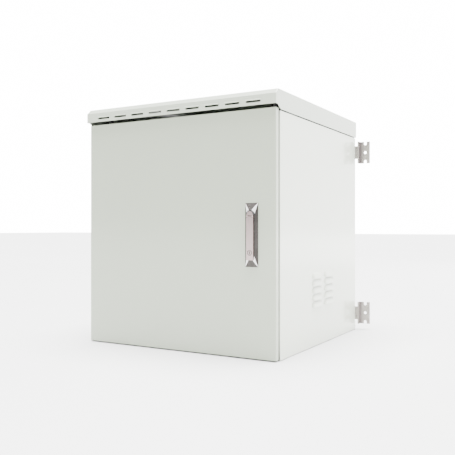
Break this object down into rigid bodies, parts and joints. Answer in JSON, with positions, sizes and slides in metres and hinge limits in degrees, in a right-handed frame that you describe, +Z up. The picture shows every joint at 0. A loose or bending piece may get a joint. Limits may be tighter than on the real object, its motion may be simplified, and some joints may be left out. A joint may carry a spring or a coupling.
{
  "type": "battery box",
  "caption": "Wall-mounted battery cabinet of folded sheet steel with a lockable door, slotted rain roof, side louvres, racking with battery shelves and a roof fan.",
  "frame": {"origin": "bottom centre of the whole cabinet's bounding box: under the middle of the bottom flanges", "axes": "+X to the right when facing the door, +Y from the door towards the wall, +Z up"},
  "size_m": [0.687, 0.62, 0.671],
  "materials": {
    "side_paint": "semi-gloss powder coat",
    "door_paint": "semi-gloss powder coat",
    "roof_paint": "semi-gloss powder coat",
    "bracket_steel": "satin stainless sheet",
    "zinc_fasteners": "bright zinc plate",
    "galvanised_sheet": "galvanised",
    "machined_steel": "machined, oiled",
    "handle_metal": "satin chrome",
    "escutcheon_metal": "satin chrome",
    "lock_metal": "bright nickel",
    "bush_black": "matt black",
    "seal_rubber": "foamed black",
    "gland_plastic": "moulded, dark grey",
    "guide_plastic": "moulded, black",
    "filter_foam": "fibre mat",
    "fan_plastic": "moulded, black"
  },
  "bodies": {
    "cabinet": {"right_side_panel": "side_paint", "left_side_panel": "side_paint", "back_panel": "side_paint", "top_panel": "side_paint", "base_panel": "side_paint", "front_frame": "side_paint", "filter_covers": "side_paint", "roof_canopy": "roof_paint", "wall_bracket_lower_left": "bracket_steel", "wall_bracket_lower_right": "bracket_steel", "wall_bracket_upper_left": "bracket_steel", "wall_bracket_upper_right": "bracket_steel", "roof_bolts": "zinc_fasteners", "bracket_bolts": "zinc_fasteners", "rack_screws": "zinc_fasteners", "cage_nuts": "zinc_fasteners", "shelf_screws": "zinc_fasteners", "gland_plate_screws": "zinc_fasteners", "fan_screws": "zinc_fasteners", "earth_stud": "zinc_fasteners", "earth_nut": "zinc_fasteners", "rack_upright_front_right": "galvanised_sheet", "rack_upright_front_left": "galvanised_sheet", "rack_upright_rear_right": "galvanised_sheet", "rack_upright_rear_left": "galvanised_sheet", "rack_depth_rails": "galvanised_sheet", "battery_shelf_lower": "galvanised_sheet", "battery_shelf_upper": "galvanised_sheet", "gland_plate": "galvanised_sheet", "fan_guard": "galvanised_sheet", "hinge_arms": "galvanised_sheet", "rod_keepers": "galvanised_sheet", "cam_keeper": "machined_steel", "cable_glands": "gland_plastic", "gland_caps": "gland_plastic", "gland_locknuts": "gland_plastic", "roof_spacers": "guide_plastic", "filter_mats": "filter_foam", "fan_housing": "fan_plastic"},
    "door": {"door_panel": "door_paint", "door_stiffener": "galvanised_sheet", "door_gasket": "seal_rubber", "hinge_leaves": "galvanised_sheet", "hinge_pins": "zinc_fasteners", "handle_escutcheon": "escutcheon_metal", "handle_screws": "zinc_fasteners", "gearbox_housing": "galvanised_sheet", "gearbox_cover": "galvanised_sheet", "rod_guides": "guide_plastic"},
    "handle": {"handle_spindle": "handle_metal", "spindle_bush": "bush_black", "drive_pinion": "machined_steel", "latch_cam": "machined_steel", "cam_nut": "zinc_fasteners", "lever_pin": "zinc_fasteners"},
    "lever": {"handle_lever": "handle_metal"},
    "lock": {"lock_cylinder": "lock_metal"},
    "rod_upper": {"lock_rod_upper": "machined_steel"},
    "rod_lower": {"lock_rod_lower": "machined_steel"},
    "fan_wheel": {"fan_rotor": "fan_plastic"}
  },
  "joints": [
    {"name": "door_hinge", "type": "hinge", "parent": "cabinet", "child": "door", "pos_m": [-0.2895, -0.2915, 0.314], "axis": [0, 0, -1], "range_deg": [0, 110]},
    {"name": "handle_swing", "type": "hinge", "parent": "door", "child": "handle", "pos_m": [0.231, -0.3, 0.3625], "axis": [0, 1, 0], "range_deg": [0, 90]},
    {"name": "lever_lift", "type": "hinge", "parent": "handle", "child": "lever", "pos_m": [0.231, -0.3075, 0.3575], "axis": [-1, 0, 0], "range_deg": [0, 50]},
    {"name": "lock_turn", "type": "hinge", "parent": "lever", "child": "lock", "pos_m": [0.231, -0.3075, 0.2675], "axis": [0, 1, 0], "range_deg": [0, 90]},
    {"name": "upper_rod_slide", "type": "slide", "parent": "door", "child": "rod_upper", "axis": [0, 0, -1], "range_m": [0, 0.0165]},
    {"name": "lower_rod_slide", "type": "slide", "parent": "door", "child": "rod_lower", "axis": [0, 0, 1], "range_m": [0, 0.0165]},
    {"name": "fan_spin", "type": "hinge", "parent": "cabinet", "child": "fan_wheel", "pos_m": [0, 0, 0.6054], "axis": [0, 0, 1], "continuous": true}
  ],
  "couplings": [
    {"joint": "upper_rod_slide", "follows": "handle_swing", "m_per_rad": 0.0105},
    {"joint": "lower_rod_slide", "follows": "handle_swing", "m_per_rad": 0.0105}
  ]
}
